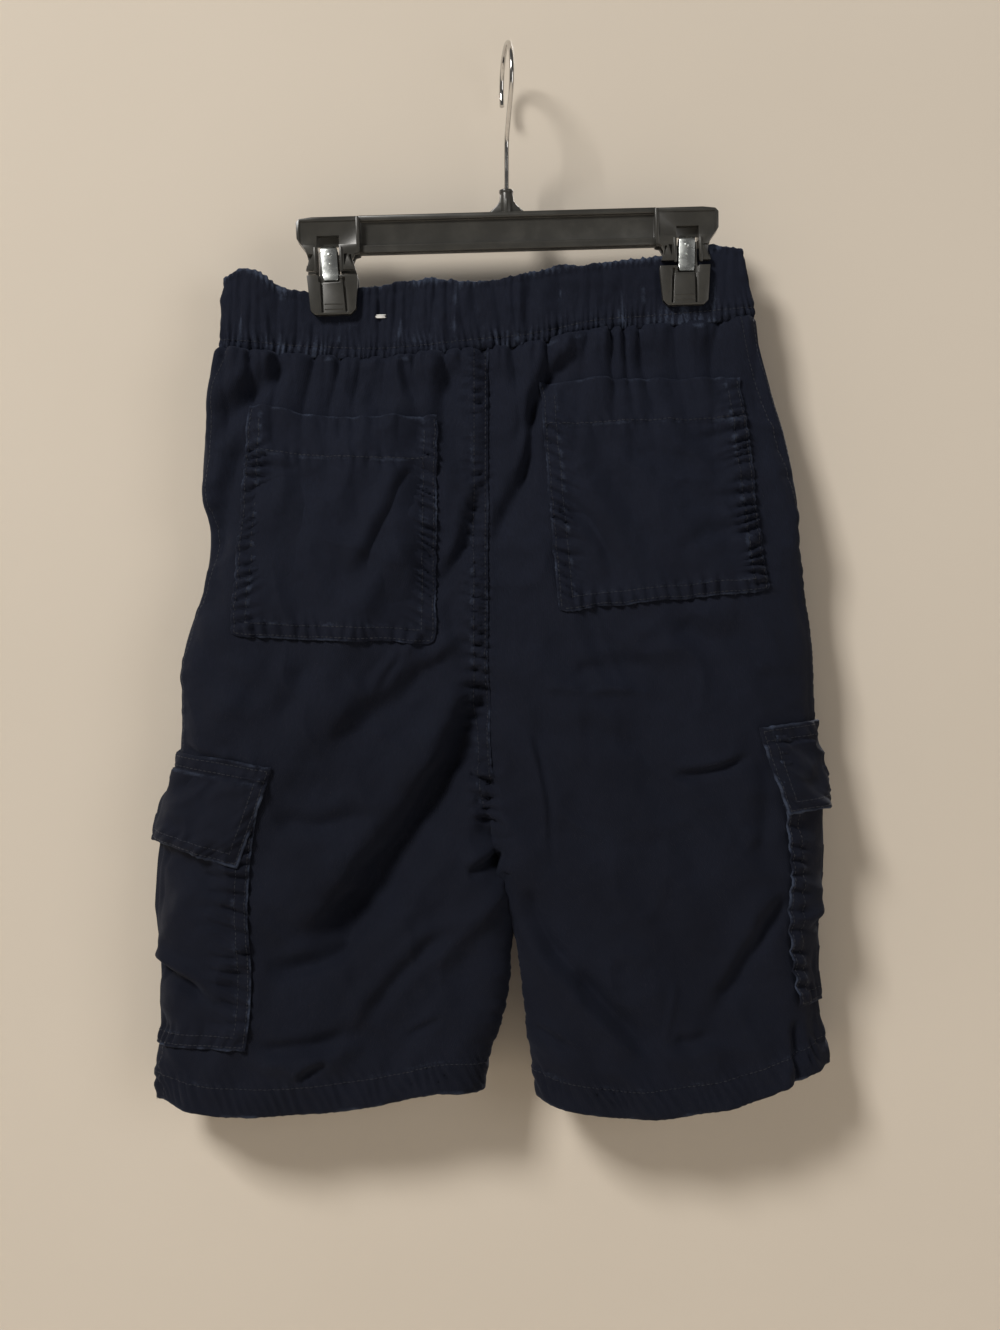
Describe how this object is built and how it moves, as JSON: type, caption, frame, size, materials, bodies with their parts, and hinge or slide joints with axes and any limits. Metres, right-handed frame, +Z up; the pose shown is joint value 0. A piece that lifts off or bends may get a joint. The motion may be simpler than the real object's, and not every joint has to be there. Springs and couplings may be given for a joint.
{
  "type": "boys' cargo shorts on a clip hanger",
  "caption": "Navy pull-on cargo shorts with an elastic waist, patch back pockets and flapped side pockets, hanging from a black plastic clip hanger with a wire hook.",
  "frame": {"origin": "inside top of the hook's crown, where a rail carries it", "axes": "+Z up, the shorts' seat and the clips' shown side face -Y, +X towards the wearer's right side"},
  "size_m": [0.4106, 0.0557, 0.6524],
  "materials": {
    "navy_twill": "washed cotton twill, matt, with paler worn seams",
    "black_plastic": "moulded black plastic, half gloss",
    "chrome_wire": "bright plated wire",
    "spring_steel": "bright zinc-plated strip"
  },
  "bodies": {
    "root": {"waistband": "navy_twill", "back_left": "navy_twill", "back_right": "navy_twill", "front_left": "navy_twill", "front_right": "navy_twill", "back_pocket_left": "navy_twill", "back_pocket_right": "navy_twill", "cargo_pocket_left": "navy_twill", "cargo_pocket_right": "navy_twill", "cargo_flap_left": "navy_twill", "cargo_flap_right": "navy_twill", "hanger_bar": "black_plastic", "clip_cap_left": "black_plastic", "clip_cap_right": "black_plastic", "clip_jaw_back_left": "black_plastic", "clip_jaw_back_right": "black_plastic", "clip_jaw_front_left": "black_plastic", "clip_jaw_front_right": "black_plastic", "clip_spring_left": "spring_steel", "clip_spring_right": "spring_steel", "hanger_hook": "chrome_wire"}
  },
  "joints": []
}
